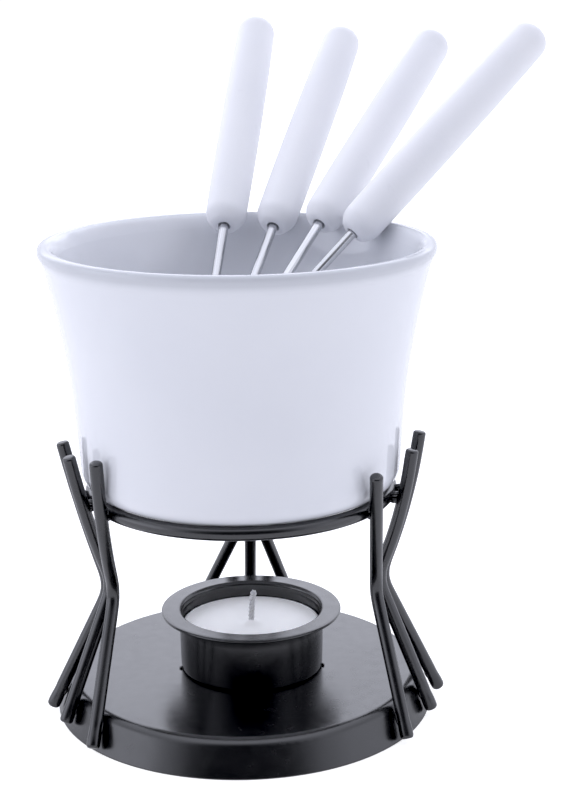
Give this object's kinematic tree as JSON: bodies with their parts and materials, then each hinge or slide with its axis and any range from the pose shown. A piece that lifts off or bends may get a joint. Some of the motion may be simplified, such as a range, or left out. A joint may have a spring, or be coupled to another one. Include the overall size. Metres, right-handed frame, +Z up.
{
  "type": "fondue pot set",
  "caption": "White porcelain fondue pot resting on a black wire stand with a candle cup and tealight, with long-handled forks leaning in the pot.",
  "frame": {"origin": "centre of the stand on the table plane", "axes": "+Z up, -Y towards the front, where the pot's forks lean away from, +X to the right seen from the front"},
  "size_m": [0.1397, 0.1499, 0.179],
  "materials": {
    "black_coat": "satin",
    "porcelain": "gloss",
    "handle_plastic": "matte",
    "fork_steel": "polished",
    "tin_foil": "satin",
    "candle_wax": "satin",
    "wick_cotton": "matte"
  },
  "bodies": {
    "stand": {"base_plate": "black_coat", "candle_cup": "black_coat", "support_ring": "black_coat", "leg_left_outer": "black_coat", "leg_left_mid": "black_coat", "leg_left_front": "black_coat", "leg_right_front": "black_coat", "leg_right_mid": "black_coat", "leg_right_outer": "black_coat", "leg_rear_left": "black_coat", "leg_rear_mid": "black_coat", "leg_rear_right": "black_coat"},
    "tealight": {"tealight_tin": "tin_foil", "wax": "candle_wax", "wick": "wick_cotton", "wick_sustainer": "tin_foil"},
    "pot": {"pot": "porcelain"},
    "fork_1": {"fork_1_handle": "handle_plastic", "fork_1_steel": "fork_steel"},
    "fork_2": {"fork_2_handle": "handle_plastic", "fork_2_steel": "fork_steel"},
    "fork_3": {"fork_3_handle": "handle_plastic", "fork_3_steel": "fork_steel"},
    "fork_4": {"fork_4_handle": "handle_plastic", "fork_4_steel": "fork_steel"}
  },
  "joints": [
    {"name": "pot_lift", "type": "slide", "parent": "stand", "child": "pot", "axis": [0, 0, 1], "range_m": [0, 0.06]},
    {"name": "tealight_lift", "type": "slide", "parent": "stand", "child": "tealight", "axis": [0, 0, 1], "range_m": [0, 0.02]},
    {"name": "fork_1_lift", "type": "slide", "parent": "pot", "child": "fork_1", "axis": [0.1357, 0.7429, 0.6555], "range_m": [0, 0.11]},
    {"name": "fork_2_lift", "type": "slide", "parent": "pot", "child": "fork_2", "axis": [0.2938, 0.7314, 0.6154], "range_m": [0, 0.11]},
    {"name": "fork_3_lift", "type": "slide", "parent": "pot", "child": "fork_3", "axis": [0.4682, 0.6593, 0.5883], "range_m": [0, 0.11]},
    {"name": "fork_4_lift", "type": "slide", "parent": "pot", "child": "fork_4", "axis": [0.6686, 0.376, 0.6416], "range_m": [0, 0.11]}
  ]
}
